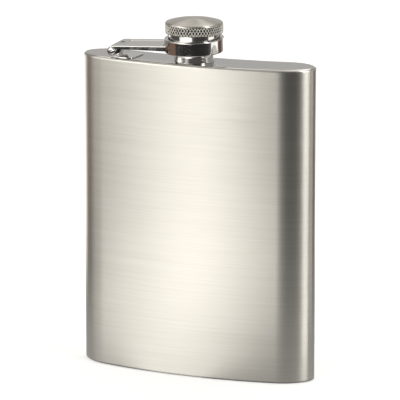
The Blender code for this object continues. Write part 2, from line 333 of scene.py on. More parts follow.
def make_wrap():
    """The wrap: rolled rims, and the wall's thickness where the rims show it."""
    rows = []
    for i in range(9):
        t = math.radians(90 - 90 * i / 8)
        rows.append((R_BOT_EDGE * (1 - math.cos(t)), 0.1 + R_BOT_EDGE * (1 - math.sin(t))))
    z0, z1 = 0.1 + R_BOT_EDGE, BODY_H - R_TOP_EDGE
    rows.append((0.0, z0 + 0.15))
    for i in range(1, 16):
        rows.append((0.0, z0 + (z1 - z0) * i / 16))
    rows.append((0.0, z1 - 0.12))
    for i in range(15):
        t = math.radians(90 * i / 14)
        rows.append((R_TOP_EDGE * (1 - math.cos(t)), BODY_H - R_TOP_EDGE * (1 - math.sin(t))))
    rows.append((R_TOP_EDGE + 0.06, BODY_H - 0.012))
    rows.append((R_TOP_EDGE + 0.10, BODY_H - 0.05))
    rows += [(R_TOP_EDGE + 0.12, BODY_H - 0.4), (R_TOP_EDGE, BODY_H - SHEET - 0.1),
             (SHEET + 0.2, BODY_H - R_TOP_EDGE), (SHEET, BODY_H - R_TOP_EDGE - 0.6)]
    for i in range(1, 8):
        rows.append((SHEET, z1 - (z1 - z0) * i / 8))
    rows += [(SHEET, R_BOT_EDGE + 0.6), (R_BOT_EDGE, 0.1 + SHEET), (R_BOT_EDGE + 0.02, 0.14)]
    verts = []
    for inset, z in rows:
        verts += [(x, y + Y_SHIFT, z) for x, y in section(inset)]
    n = len(section(0.0))
    return build("body_wrap", verts, grid_faces(len(rows), n))


def make_plate(name, inset, z_low, z_high, hole, face_up):
    """A plate inside a rim, its visible edge rounded, with or without a round hole."""
    edge = 0.06
    out = section(inset)
    n = len(out)
    steps = [(inset, z_low), (inset, (z_low + z_high) / 2)] if face_up else []
    rings = []
    if face_up:
        rings = [(inset, z_low), (inset, z_high - edge), (inset + 0.03, z_high - 0.03),
                 (inset + edge, z_high)]
    else:
        rings = [(inset, z_high), (inset, z_low + edge), (inset + 0.03, z_low + 0.03),
                 (inset + edge, z_low)]
    verts = []
    for ins, z in rings:
        verts += [(x, y, z) for x, y in section(ins)]
    base = section(inset + edge)
    z_face, z_other = (z_high, z_low) if face_up else (z_low, z_high)
    inner = []
    for x, y in base:
        t = math.atan2(y, x)
        r = hole if hole else 1.5
        inner.append((r * math.cos(t), r * math.sin(t)))
    shares = [0.12, 0.3, 0.5, 0.7, 0.86, 1.0]
    count = len(rings)
    for s in shares:
        verts += [(bx + (ix - bx) * s, by + (iy - by) * s, z_face)
                  for (bx, by), (ix, iy) in zip(base, inner)]
        count += 1
    if hole:
        verts += [(ix, iy, z_other) for ix, iy in inner]
        count += 1
        other = section(inset)
        for s in (0.5,):
            verts += [(ix + (bx - ix) * s, iy + (by - iy) * s, z_other)
                      for (bx, by), (ix, iy) in zip(other, inner)]
            count += 1
        faces = grid_faces(count, n)
    else:
        faces = grid_faces(count, n, closed_rows=False)
        faces.append(tuple(range((count - 1) * n, count * n)))
        faces.append(tuple(range(n)))
    del steps
    return build(name, [(x, y + Y_SHIFT, z) for x, y, z in verts], faces)


# ---- neck --------------------------------------------------------------------
def make_neck():
    seg = 160
    foot = rounded([(NECK_BORE, NECK_H - 0.02), (NECK_BORE, -1.0), (6.4, -1.0), (6.4, 0.02),
                    (NECK_R + 0.72, 0.02), (NECK_R + 0.5, 0.16),
                    (NECK_R - 0.02, NECK_STEP_H - 0.1), (NECK_R - 0.4, NECK_STEP_H),
                    (THREAD_ROOT, NECK_STEP_H + 0.12)],
                   [0, 0, 0, 0, 0.05, 0.12, 0.18, 0.1, 0], 4)
    foot = supported(foot, 0.1, False)
    z0, z1 = NECK_STEP_H + 0.2, NECK_H - 0.35
    rows = 90
    verts = []
    for r, z in foot:
        verts += [(r * math.cos(2 * math.pi * k / seg), r * math.sin(2 * math.pi * k / seg), z)
                  for k in range(seg)]
    for i in range(rows):
        z = z0 + (z1 - z0) * i / (rows - 1)
        for k in range(seg):
            t = 2 * math.pi * k / seg
            u = ((z - z0) / THREAD_PITCH - k / seg) % 1.0
            ridge = max(0.0, 1.0 - abs(u - 0.5) / 0.38)
            ridge = min(1.0, ridge * 1.5)
            ridge = ridge * ridge * (3 - 2 * ridge)
            fade = max(0.0, min(1.0, (z - z0) / 0.9, (z1 - z) / 0.7))
            r = THREAD_ROOT + (THREAD_CREST - THREAD_ROOT) * ridge * fade
            verts.append((r * math.cos(t), r * math.sin(t), z))
    top = rounded([(THREAD_ROOT, z1 + 0.05), (THREAD_ROOT, NECK_H), (NECK_BORE, NECK_H),
                   (NECK_BORE, NECK_H - 0.6)], [0, 0.2, 0.2, 0], 5)[1:-1]
    for r, z in top:
        verts += [(r * math.cos(2 * math.pi * k / seg), r * math.sin(2 * math.pi * k / seg), z)
                  for k in range(seg)]
    count = len(verts) // seg
    return build("neck", verts, grid_faces(count, seg), Matrix.Translation(AXIS), 38)


# ---- cap ---------------------------------------------------------------------
def make_knob():
    """Domed knob; its side carries a net of crossing ridges with sunk lozenges."""
    ridges = 58
    per = 14
    seg = ridges * per
    low, high = KNOB_BOTTOM + 0.42, KNURL_TOP
    depth = 0.46
    period = (2 * math.pi * KNOB_R / ridges) / math.tan(math.radians(31))
    rows = 34

    def ring(r, z):
        return [(r * math.cos(2 * math.pi * k / seg), r * math.sin(2 * math.pi * k / seg), z)
                for k in range(seg)]

    verts = []
    under = rounded([(SLEEVE_R + 0.08, SLEEVE_TOP + 0.05), (SLEEVE_R + 0.08, KNOB_BOTTOM),
                     (KNOB_R - 0.34, KNOB_BOTTOM), (KNOB_R - 0.03, low)],
                    [0, 0.06, 0.12, 0], 3)
    for r, z in under:
        verts += ring(r, z)
    for i in range(rows):
        z = low + (high - low) * i / (rows - 1)
        fade = min(1.0, (i + 0.0) / 2.0, (rows - 1 - i) / 2.0)
        for k in range(seg):
            t = 2 * math.pi * k / seg
            a = (k / per + (z - low) / period) % 1.0
            b = (k / per - (z - low) / period) % 1.0
            sa = max(0.0, (abs(a - 0.5) * 2 - 0.0))
            sb = max(0.0, (abs(b - 0.5) * 2 - 0.0))
            pit = min(min(1.0, (1 - sa) * 1.0), min(1.0, (1 - sb) * 1.0))
            pit = max(0.0, (pit - 0.12) / 0.88)
            r = KNOB_R - depth * min(1.0, pit * 1.35) * fade
            verts.append((r * math.cos(t), r * math.sin(t), z))
    shoulder = []
    rise = KNOB_SIDE_TOP - KNURL_TOP
    for i in range(1, 9):
        s = math.radians(72 * i / 8)
        shoulder.append((KNOB_R - KNOB_SHOULDER * (1 - math.cos(s)), high + rise * math.sin(s)))
    r_edge = shoulder[-1][0]
    z_edge = shoulder[-1][1]
    for r, z in shoulder:
        verts += ring(r, z)
    for i in range(1, 28):
        share = (1 - i / 28) ** 0.8
        verts += ring(r_edge * share, KNOB_APEX - (KNOB_APEX - z_edge) * share ** DOME_POWER)
    count = len(verts) // seg
    faces = grid_faces(count, seg, closed_rows=False)
    apex = len(verts)
    verts.append((0, 0, KNOB_APEX))
    faces += [(apex, (count - 1) * seg + k, (count - 1) * seg + (k + 1) % seg) for k in range(seg)]
    floor = len(verts)
    verts.append((0, 0, SLEEVE_TOP + 0.05))
    faces += [(floor, (k + 1) % seg, k) for k in range(seg)]
    return build("cap_knob_knurled", verts, faces, Matrix.Translation(AXIS), 50)


def make_sleeve():
    """Skirt under the knob, with the screw thread inside and a groove for the ring."""
    seg = 160
    outside = rounded([(8.95, SLEEVE_BOTTOM), (8.95, SLEEVE_BOTTOM + 0.06),
                       (8.95, SLEEVE_BOTTOM + 0.7), (SLEEVE_R, SLEEVE_BOTTOM + 0.7),
                       (SLEEVE_R, SLEEVE_TOP)],
                      [0, 0, 0.05, 0.12, 0], 4)
    outside = supported(outside, 0.1, False)
    z0, z1 = SLEEVE_BOTTOM + 0.35, SLEEVE_TOP - 1.25
    rows = 64
    verts = [(0, 0, SLEEVE_TOP)]

    def ring(r, z):
        return [(r * math.cos(2 * math.pi * k / seg), r * math.sin(2 * math.pi * k / seg), z)
                for k in range(seg)]

    for r, z in outside[::-1]:
        verts += ring(r, z)
    for r, z in ((8.88, SLEEVE_BOTTOM - 0.0), (SLEEVE_BORE + 0.25, SLEEVE_BOTTOM),
                 (SLEEVE_BORE, SLEEVE_BOTTOM + 0.22)):
        verts += ring(r, z)
    for i in range(rows):
        z = z0 + (z1 - z0) * i / (rows - 1)
        for k in range(seg):
            t = 2 * math.pi * k / seg
            u = ((z - z0) / THREAD_PITCH - k / seg) % 1.0
            ridge = max(0.0, 1.0 - abs(u - 0.5) / 0.36)
            ridge = min(1.0, ridge * 1.5)
            ridge = ridge * ridge * (3 - 2 * ridge)
            fade = max(0.0, min(1.0, (z - z0) / 0.8, (z1 - z) / 0.8))
            r = SLEEVE_BORE - 0.3 * ridge * fade
            verts.append((r * math.cos(t), r * math.sin(t), z))
    verts += ring(SLEEVE_BORE, SLEEVE_TOP - 1.0)
    count = (len(verts) - 1) // seg
    faces = grid_faces(count, seg, closed_rows=False, start=1)
    faces += [(0, 1 + (k + 1) % seg, 1 + k) for k in range(seg)]
    last = 1 + (count - 1) * seg
    centre = len(verts)
    verts.append((0, 0, SLEEVE_TOP - 1.0))
    faces += [(centre, last + k, last + (k + 1) % seg) for k in range(seg)]
    return build("cap_skirt", verts, faces, Matrix.Translation(AXIS), 38)


def make_snap_ring():
    """Sprung wire ring, open for a few degrees at the back."""
    n, m = 150, 14
    gap = math.radians(9)
    mid, half_r, half_z, zc = (9.03 + RING_R) / 2, (RING_R - 9.03) / 2, 0.25, SLEEVE_BOTTOM + 0.36
    verts = []
    for i in range(n + 1):
        t = math.radians(90) + gap / 2 + (2 * math.pi - gap) * i / n
        for k in range(m):
            s = 2 * math.pi * k / m
            cs, sn = math.cos(s), math.sin(s)
            r = mid + half_r * math.copysign(abs(cs) ** 0.6, cs)
            z = zc + half_z * math.copysign(abs(sn) ** 0.6, sn)
            verts.append((r * math.cos(t), r * math.sin(t), z))
    faces = grid_faces(n + 1, m, closed_rows=False)
    faces += [tuple(range(m)), tuple(range(n * m, (n + 1) * m))]
    return build("cap_snap_wire", verts, faces, Matrix.Translation(AXIS), 40)


def make_seal():
    lo, hi = NECK_H + 0.3, SLEEVE_TOP - 1.0 - 0.12
    under = rounded([(0, lo + 0.06), (5.2, lo + 0.06), (5.5, lo + 0.16), (6.6, lo + 0.16),
                     (6.9, lo), (SEAL_R, lo), (SEAL_R, hi), (0, hi)],
                    [0, 0.15, 0.1, 0.1, 0.1, 0.2, 0.12, 0], 4)
    return lathe("cap_seal_disc", under, 96, Matrix.Translation(AXIS))


# ---- hinge and arm -----------------------------------------------------------
def extrude_y(name, outline, y0, y1, matrix, sharp=32.0):
    """An (x, z) outline carried along Y."""
    n = len(outline)
    verts = [(x, y0, z) for x, z in outline] + [(x, y1, z) for x, z in outline]
    faces = [tuple(range(n)), tuple(range(n, 2 * n))[::-1]]
    faces += [(k, (k + 1) % n, n + (k + 1) % n, n + k) for k in range(n)]
    return build(name, verts, faces, matrix, sharp)


def extrude_z(name, outline, z0, z1, matrix, sharp=32.0):
    n = len(outline)
    verts = [(x, y, z0) for x, y in outline] + [(x, y, z1) for x, y in outline]
    faces = [tuple(range(n))[::-1], tuple(range(n, 2 * n))]
    faces += [(k, (k + 1) % n, n + (k + 1) % n, n + k) for k in range(n)]
    return build(name, verts, faces, matrix, sharp)


def make_arm():
    """Strip of sheet, its end rolled round the pin; the roll is open under the strip,
    and the strip's long upper edges are rounded over."""
    flat = Matrix.Identity(4)
    end = math.radians(360 - 52)
    start = math.radians(90)

    def outline(drop):
        pts = [(24.5, ARM_BOTTOM), (24.5, ARM_TOP - drop)]
        for i in range(41):
            t = start + (end - start) * i / 40
            pts.append(((KNUCKLE_R - drop) * math.cos(t), (KNUCKLE_R - drop) * math.sin(t)))
        for i in range(37):
            t = end + (math.radians(34) - end) * i / 36
            pts.append((KNUCKLE_BORE * math.cos(t), KNUCKLE_BORE * math.sin(t)))
        return pts

    turn_r = 0.30
    rows = []
    for i in range(8):
        phi = math.radians(90 * i / 7)
        rows.append((-ARM_HALF + turn_r * (1 - math.cos(phi)), turn_r * (1 - math.sin(phi))))
    rows += [(-y, d) for y, d in rows[::-1]]
    verts = []
    for y, d in rows:
        verts += [(x, y, z) for x, z in outline(d)]
    n = len(outline(0.0))
    faces = grid_faces(len(rows), n, closed_rows=False)
    faces += [tuple(range(n)), tuple(range((len(rows) - 1) * n, len(rows) * n))[::-1]]
    arm = build("arm_strip", verts, faces, flat, 28)
    h = MID_HALF + 0.3
    combine(arm, extrude_z("notch", rounded([(-3, -h), (2.45, -h), (2.45, h), (-3, h)],
                                            [0, 0.5, 0.5, 0], 5, True), -4, 4, flat), "DIFFERENCE")
    ring = COLLAR_R + 0.02
    combine(arm, lathe("collar_room", [(0, -5), (ring, -5), (ring, 7), (0, 7)], 192, CUP),
            "DIFFERENCE")
    arm = baked(arm)
    soften(arm, 0.09, 3, 40)
    # sunk panel with sloping sides
    x0, x1, hw, cr = 3.6, 18.9, ARM_HALF - 1.35, 1.9
    levels = [(0.0, 0.22), (0.22, 0.0), (0.36, -0.10), (0.52, -0.19), (0.74, -0.23)]
    verts = []
    for ins, dz in levels:
        ring_pts = rounded([(x0 + ins, -hw + ins), (x1 - ins, -hw + ins),
                            (x1 - ins, hw - ins), (x0 + ins, hw - ins)],
                           [max(cr - ins, 0.2), max(1.2 - ins, 0.15),
                            max(1.2 - ins, 0.15), max(cr - ins, 0.2)], 8, True)
        verts += [(x, y, ARM_TOP + dz) for x, y in ring_pts]
    n = len(verts) // len(levels)
    faces = grid_faces(len(levels), n, closed_rows=False)
    faces.append(tuple(range(n))[::-1])
    faces.append(tuple(range((len(levels) - 1) * n, len(levels) * n)))
    combine(arm, build("panel", verts, faces), "DIFFERENCE")
    arm = baked(arm)
    arm.data.transform(Matrix.Scale(MM, 4) @ ARM @ Matrix.Scale(1 / MM, 4))
    return smooth(arm, 30)


def make_arm_joint():
    """Brazed fillet where the strip meets the collar."""
    n, verts = 60, []
    half = math.asin((ARM_HALF - 0.35) / COLLAR_R)
    section_pts = []
    rise, reach = 1.25, 1.15
    top = ARM_TOP - COLLAR_R * math.sin(math.radians(ARM_RISE - COLLAR_RISE))
    for i in range(9):
        t = math.radians(90 * i / 8)
        section_pts.append((COLLAR_R + reach * (1 - math.sin(t)) + 0.02,
                            top + 0.01 + rise * (1 - math.cos(t))))
    section_pts += [(COLLAR_R - 0.05, top + rise - 0.1), (COLLAR_R - 0.05, top - 0.25),
                    (COLLAR_R + reach, top - 0.25)]
    m = len(section_pts)
    for i in range(n + 1):
        f = i / n
        t = math.pi - half + 2 * half * f
        taper = max(0.0, min(1.0, min(f, 1 - f) / 0.10)) ** 0.5
        for r, z in section_pts:
            rr = COLLAR_R - 0.05 + (r - COLLAR_R + 0.05) * (0.25 + 0.75 * taper)
            zz = top - 0.25 + (z - top + 0.25) * (0.3 + 0.7 * taper)
            verts.append((rr * math.cos(t), rr * math.sin(t), zz))
    faces = grid_faces(n + 1, m, closed_rows=False)
    faces += [tuple(range(m)), tuple(range(n * m, (n + 1) * m))]
    return build("arm_collar_braze", verts, faces, ARM @ CUP, 40)


def make_collar():
    lip = rounded([(COLLAR_LIP, COLLAR_RIM - 0.5), (COLLAR_LIP, COLLAR_RIM),
                   (COLLAR_R, COLLAR_RIM), (COLLAR_R, COLLAR_WALL_FOOT),
                   (COLLAR_HOLE + 0.45, COLLAR_FOOT), (COLLAR_HOLE, COLLAR_FOOT),
                   (COLLAR_HOLE, COLLAR_FOOT + 0.5), (COLLAR_IN, COLLAR_WALL_FOOT + 0.35),
                   (COLLAR_IN, COLLAR_RIM - 0.8)],
                  [0.2, 0.3, 0.2, 0.42, 0.12, 0.1, 0.12, 0.5, 0.15], 7, True)
    return lathe("collar", supported(lip, 0.1), 224, ARM @ CUP, 38)


def make_leaf():
    flat = Matrix.Identity(4)
    corner = 3.0
    outline = rounded([(LEAF_NEAR, -ARM_HALF), (LEAF_FAR, -ARM_HALF),
                       (LEAF_FAR, ARM_HALF), (LEAF_NEAR, ARM_HALF)], [0.3, corner, corner, 0.3], 14, True)
    leaf = extrude_z("hinge_leaf_sheet", outline, 0.03, 0.03 + LEAF_T, flat)
    combine(leaf, extrude_y("web", rounded([(4.4, 0.06), (4.4, 0.3), (1.0, 0.3), (0.8, 2.0),
                                            (-1.35, 2.3), (-1.35, 1.3), (-0.9, 0.06)],
                                           [0.1, 0.1, 0.1, 0.1, 0.1, 0.5, 0.1], 5, True),
                            -MID_HALF + 0.03, MID_HALF - 0.03, flat), "UNION")
    barrel = []
    for i in range(48):
        t = 2 * math.pi * i / 48
        barrel.append((KNUCKLE_R * math.cos(t), KNUCKLE_R * math.sin(t)))
    roll = Matrix.Translation(Vector((0, 0, HINGE_H))) @ Matrix.Rotation(math.radians(ARM_ROLL), 4, "X")
    combine(leaf, extrude_y("barrel", barrel, -MID_HALF, MID_HALF, roll), "UNION")
    bore = [(x * KNUCKLE_BORE / KNUCKLE_R, z * KNUCKLE_BORE / KNUCKLE_R) for x, z in barrel]
    combine(leaf, extrude_y("bore", bore, -5, 5, roll), "DIFFERENCE")
    leaf = baked(leaf)
    soften(leaf, 0.1, 3, 30)
    place = Matrix.Translation(Vector((HINGE_X, Y_SHIFT, BODY_H)))
    leaf.data.transform(Matrix.Scale(MM, 4) @ place @ Matrix.Scale(1 / MM, 4))
    return smooth(leaf, 30)


def make_pin():
    """Rivet with two low domed heads; each head has a small punched centre."""
    seat = ARM_HALF + 0.03
    head = []
    for i in range(9):
        t = math.radians(90 * i / 8)
        head.append((1.5 * math.cos(t) ** 0.8, seat + 0.42 * math.sin(t)))
    head = [p for p in head if p[0] > 0.42] + [(0.36, seat + 0.39), (0.26, seat + 0.2), (0, seat + 0.16)]
    upper = [(PIN_R, seat - 0.02), (1.47, seat)] + head
    profile = [(r, -z) for r, z in upper[::-1]] + upper
    turn = PIVOT @ Matrix.Rotation(math.radians(90), 4, "X")
    return lathe("hinge_pin_rod", profile, 48, turn)


# ---- material nodes ----------------------------------------------------------
class Tree:
    """Short calls for building a node tree."""

    def __init__(self, owner):
        owner.use_nodes = True
        self.t = owner.node_tree
        self.t.nodes.clear()

    def add(self, kind, **props):
        n = self.t.nodes.new(kind)
        for key, value in props.items():
            setattr(n, key, value)
        return n

    def put(self, socket, value):
        if isinstance(value, bpy.types.NodeSocket):
            self.t.links.new(value, socket)
        elif value is not None:
            socket.default_value = value

    def math(self, op, a, b=None, c=None, clamp=False):
        n = self.add("ShaderNodeMath", operation=op, use_clamp=clamp)
        for i, v in enumerate((a, b, c)):
            self.put(n.inputs[i], v)
        return n.outputs[0]

    def vec(self, op, a, b=None):
        n = self.add("ShaderNodeVectorMath", operation=op)
        self.put(n.inputs[0], a)
        if b is not None:
            self.put(n.inputs[1], b)
        return n.outputs["Value"] if op in ("LENGTH", "DOT_PRODUCT") else n.outputs["Vector"]

    def noise(self, vector, scale=1.0, detail=3.0, rough=0.55, distortion=0.0):
        n = self.add("ShaderNodeTexNoise")
        self.put(n.inputs["Vector"], vector)
        n.inputs["Scale"].default_value = scale
        n.inputs["Detail"].default_value = detail
        n.inputs["Roughness"].default_value = rough
        n.inputs["Distortion"].default_value = distortion
        return n.outputs["Fac"]

    def remap(self, value, a, b, c, d, kind="LINEAR"):
        n = self.add("ShaderNodeMapRange", interpolation_type=kind, clamp=True)
        for i, v in enumerate((value, a, b, c, d)):
            self.put(n.inputs[i], v)
        return n.outputs[0]

    def ramp(self, value, stops, kind="LINEAR"):
        n = self.add("ShaderNodeValToRGB")
        n.color_ramp.interpolation = kind
        els = n.color_ramp.elements
        while len(els) > 1:
            els.remove(els[-1])
        els[0].position = stops[0][0]
        els[0].color = (*stops[0][1], 1)
        for p, c in stops[1:]:
            e = els.new(p)
            e.color = (*c, 1)
        self.put(n.inputs[0], value)
        return n.outputs[0]

    def mix(self, factor, a, b, kind="RGBA", blend="MIX"):
        n = self.add("ShaderNodeMix", data_type=kind)
        if kind == "RGBA":
            n.blend_type = blend
            ins = [n.inputs[0], n.inputs[6], n.inputs[7]]
            out = n.outputs[2]
        else:
            ins = [n.inputs[0], n.inputs[2], n.inputs[3]]
            out = n.outputs[0]
        for s, v in zip(ins, (factor, a, b)):
            self.put(s, v)
        return out

    def stretched(self, coords, scale):
        n = self.add("ShaderNodeMapping")
        self.put(n.inputs["Vector"], coords)
        n.inputs["Scale"].default_value = scale
        return n.outputs["Vector"]

    def bump(self, height, distance, strength=1.0, normal=None):
        n = self.add("ShaderNodeBump")
        self.put(n.inputs["Height"], height)
        n.inputs["Distance"].default_value = distance
        n.inputs["Strength"].default_value = strength
        if normal is not None:
            self.put(n.inputs["Normal"], normal)
        return n.outputs["Normal"]

    def finish(self, colour, rough, normal=None, metallic=1.0, aniso=0.0, rotation=0.0,
               tangent=None, extra=None):
        p = self.add("ShaderNodeBsdfPrincipled")
        self.put(p.inputs["Base Color"], colour)
        self.put(p.inputs["Roughness"], rough)
        self.put(p.inputs["Metallic"], metallic)
        self.put(p.inputs["Anisotropic"], aniso)
        self.put(p.inputs["Anisotropic Rotation"], rotation)
        if normal is not None:
            self.put(p.inputs["Normal"], normal)
        if tangent is not None:
            self.put(p.inputs["Tangent"], tangent)
        for key, value in (extra or {}).items():
            self.put(p.inputs[key], value)
        out = self.add("ShaderNodeOutputMaterial")
        self.t.links.new(p.outputs[0], out.inputs[0])
        return p


def brushed(name, direction, tint_a, tint_b, rough, tangent_kind, aniso=0.86, amount=1.0,
            rim=False):
    """Sheet steel with long fine brush marks. direction: 'level' runs round upright
    walls, 'x' runs along X on level faces."""
    mat = bpy.data.materials.new(name)
    t = Tree(mat)
    co = t.add("ShaderNodeTexCoord").outputs["Object"]
    if direction == "level":
        scales = [(38, 38, 4200), (16, 16, 1500), (7, 7, 420), (3, 3, 90)]
    else:
        scales = [(38, 4200, 38), (16, 1500, 16), (7, 420, 7), (3, 90, 3)]
    fine = t.noise(t.stretched(co, scales[0]), 1.0, 4.0, 0.6)
    mid = t.noise(t.stretched(co, scales[1]), 1.0, 4.0, 0.62)
    wide = t.noise(t.stretched(co, scales[2]), 1.0, 3.0, 0.55)
    band = t.noise(t.stretched(co, scales[3]), 1.0, 2.0, 0.5)
    cloud = t.noise(co, 46.0, 4.0, 0.6)
    smear = t.noise(t.stretched(co, (30, 30, 60)), 1.0, 5.0, 0.65, 0.4)
    streak = t.math("ADD", t.math("MULTIPLY", fine, 0.42), t.math("MULTIPLY", mid, 0.33))
    streak = t.math("ADD", streak, t.math("MULTIPLY", wide, 0.17))
    streak = t.math("ADD", streak, t.math("MULTIPLY", band, 0.08))
    tone = t.remap(streak, 0.34, 0.66, 0.0, 1.0)
    colour = t.mix(tone, (*tint_a, 1), (*tint_b, 1))
    soil = t.remap(cloud, 0.35, 0.75, 0.0, 1.0)
    colour = t.mix(t.math("MULTIPLY", soil, 0.06), colour, (0.52, 0.49, 0.44, 1))
    r = t.math("ADD", rough, t.math("MULTIPLY", t.math("SUBTRACT", mid, 0.5), 0.16 * amount))
    r = t.math("ADD", r, t.math("MULTIPLY", t.math("SUBTRACT", smear, 0.5), 0.07 * amount))
    height = t.math("ADD", t.math("MULTIPLY", fine, 0.6), t.math("MULTIPLY", mid, 0.9))
    normal = t.bump(height, 0.0000045 * amount, 1.0)
    normal = t.bump(wide, 0.000006 * amount, 1.0, normal)
    if tangent_kind == "radial":
        tan = t.add("ShaderNodeTangent", direction_type="RADIAL", axis="Z").outputs[0]
        turn = 0.25
    else:
        tan = t.add("ShaderNodeTangent", direction_type="UV_MAP", uv_map="brush").outputs[0]
        turn = 0.0
    if rim:
        z = t.add("ShaderNodeSeparateXYZ")
        t.put(z.inputs[0], co)
        worn = t.remap(z.outputs[2], (BODY_H - 0.75) * MM, (BODY_H - 0.45) * MM, 0.0, 1.0)
        r = t.mix(worn, r, t.math("MULTIPLY", r, 0.36), "FLOAT")
        aniso = t.math("MULTIPLY", t.math("SUBTRACT", 1.0, worn), aniso)
        colour = t.mix(t.math("MULTIPLY", worn, 0.5), colour, (0.74, 0.72, 0.68, 1))
        # painted shade: the lowest millimetre of the wrap is darkened towards near black, standing in for
        # the contact shadow where it meets the floor
        foot = t.remap(z.outputs[2], 0.25 * MM, 0.95 * MM, 0.8, 0.0)
        colour = t.mix(foot, colour, (0.10, 0.095, 0.085, 1))
    t.finish(colour, r, normal, 1.0, aniso, turn, tan)
    return mat


def polished(name, tint, rough=0.045, wave=1.0):
    """Buffed steel: hairline marks, a faint ripple, and smears that dull it a little."""
    mat = bpy.data.materials.new(name)
    t = Tree(mat)
    co = t.add("ShaderNodeTexCoord").outputs["Object"]
    hair = t.noise(t.stretched(co, (900, 900, 5200)), 1.0, 3.0, 0.6)
    cross = t.noise(t.stretched(co, (4200, 700, 700)), 1.0, 3.0, 0.6)
    ripple = t.noise(co, 260.0, 2.0, 0.5)
    smear = t.noise(co, 330.0, 5.0, 0.65, 0.6)
    speck = t.noise(co, 2400.0, 2.0, 0.5)
    r = t.math("ADD", rough, t.math("MULTIPLY", t.remap(smear, 0.42, 0.78, 0.0, 1.0), 0.10))
    r = t.math("ADD", r, t.math("MULTIPLY", t.remap(speck, 0.62, 0.8, 0.0, 1.0), 0.08))
    colour = t.mix(t.remap(smear, 0.3, 0.75, 0.0, 0.55), (*tint, 1),
                   (tint[0] * 0.86, tint[1] * 0.84, tint[2] * 0.81, 1))
    height = t.math("ADD", t.math("MULTIPLY", hair, 0.5), t.math("MULTIPLY", cross, 0.5))
    normal = t.bump(ripple, 0.000022 * wave, 1.0)
    normal = t.bump(height, 0.0000012, 1.0, normal)
    t.finish(colour, r, normal, 1.0)
    return mat


def turned_satin(name, tint_a, tint_b, rough):
    """Steel faced on a lathe: fine rings about the cap's axis; knurl crests are rougher and painted
    bright as a highlight, and the knurl pits are painted near black as shade.
    """
    mat = bpy.data.materials.new(name)
    t = Tree(mat)
    co = t.add("ShaderNodeTexCoord").outputs["Object"]
    rel = t.vec("SUBTRACT", co, (AXIS.x * MM, AXIS.y * MM, 0.0))
    flat = t.vec("MULTIPLY", rel, (1.0, 1.0, 0.0))
    radius = t.vec("LENGTH", flat)
    sep = t.add("ShaderNodeSeparateXYZ")
    t.put(sep.inputs[0], rel)
    comb = t.add("ShaderNodeCombineXYZ")
    t.put(comb.inputs[0], t.math("MULTIPLY", radius, 5200.0))
    unit = t.vec("NORMALIZE", flat)
    us = t.add("ShaderNodeSeparateXYZ")
    t.put(us.inputs[0], unit)
    t.put(comb.inputs[1], t.math("MULTIPLY", us.outputs[0], 2.2))
    t.put(comb.inputs[2], t.math("MULTIPLY", us.outputs[1], 2.2))
    rings = t.noise(comb.outputs[0], 1.0, 4.0, 0.62)
    comb2 = t.add("ShaderNodeCombineXYZ")
    t.put(comb2.inputs[0], t.math("MULTIPLY", radius, 1400.0))
    t.put(comb2.inputs[1], t.math("MULTIPLY", us.outputs[0], 1.1))
    t.put(comb2.inputs[2], t.math("MULTIPLY", us.outputs[1], 1.1))
    coarse = t.noise(comb2.outputs[0], 1.0, 3.0, 0.6)
    smear = t.noise(co, 240.0, 4.0, 0.6, 0.4)
    grain = t.noise(co, 5200.0, 2.0, 0.6)
    tone = t.math("ADD", t.math("MULTIPLY", rings, 0.6), t.math("MULTIPLY", coarse, 0.4))
    colour = t.mix(t.remap(tone, 0.35, 0.65, 0.0, 1.0), (*tint_a, 1), (*tint_b, 1))
    side = t.remap(sep.outputs[2], (BODY_H + KNURL_TOP - 0.12) * MM,
                   (BODY_H + KNURL_TOP + 0.12) * MM, 1.0, 0.0)
    crest = t.remap(radius, (KNOB_R - 0.17) * MM, (KNOB_R - 0.07) * MM, 0.0, 1.0)
    # painted shade: on the knurled band, everything off the crests (the sunk lozenges) is painted near
    # black to stand in for the shade in the pits
    pit = t.math("MULTIPLY", side, t.math("SUBTRACT", 1.0, crest))
    # crests: rougher from rubbing, and their colour lifted near white as a painted highlight along the
    # knurl's ridges
    rubbed_crest_highlight = t.math("MULTIPLY", side, crest)
    colour = t.mix(t.math("MULTIPLY", pit, 0.97), colour, (0.045, 0.04, 0.03, 1))
    colour = t.mix(t.math("MULTIPLY", rubbed_crest_highlight, 0.8), colour, (0.90, 0.885, 0.83, 1))
    r = t.math("ADD", rough, t.math("MULTIPLY", t.math("SUBTRACT", coarse, 0.5), 0.18))
    r = t.math("ADD", r, t.math("MULTIPLY", t.math("SUBTRACT", smear, 0.5), 0.08))
    r = t.math("ADD", r, t.math("MULTIPLY", rubbed_crest_highlight, 0.20))
    height = t.mix(side, tone, grain, "FLOAT")
    normal = t.bump(height, 0.0000055, 1.0)
    tan = t.add("ShaderNodeTangent", direction_type="RADIAL", axis="Z").outputs[0]
    aniso = t.math("MULTIPLY", t.math("SUBTRACT", 1.0, side), 0.85)
    t.finish(colour, r, normal, 1.0, aniso, 0.25, tan)
    return mat


def rubber(name):
    mat = bpy.data.materials.new(name)
    t = Tree(mat)
    co = t.add("ShaderNodeTexCoord").outputs["Object"]
    cloud = t.noise(co, 420.0, 4.0, 0.6)
    grain = t.noise(co, 6500.0, 2.0, 0.5)
    colour = t.mix(t.remap(cloud, 0.35, 0.7, 0.0, 1.0), (0.74, 0.735, 0.71, 1), (0.84, 0.835, 0.82, 1))
    r = t.math("ADD", 0.42, t.math("MULTIPLY", grain, 0.22))
    t.finish(colour, r, t.bump(grain, 0.000006), 0.0,
             extra={"Subsurface Weight": 0.15, "Subsurface Radius": (0.001, 0.001, 0.001),
                    "Subsurface Scale": 1.0})
    return mat


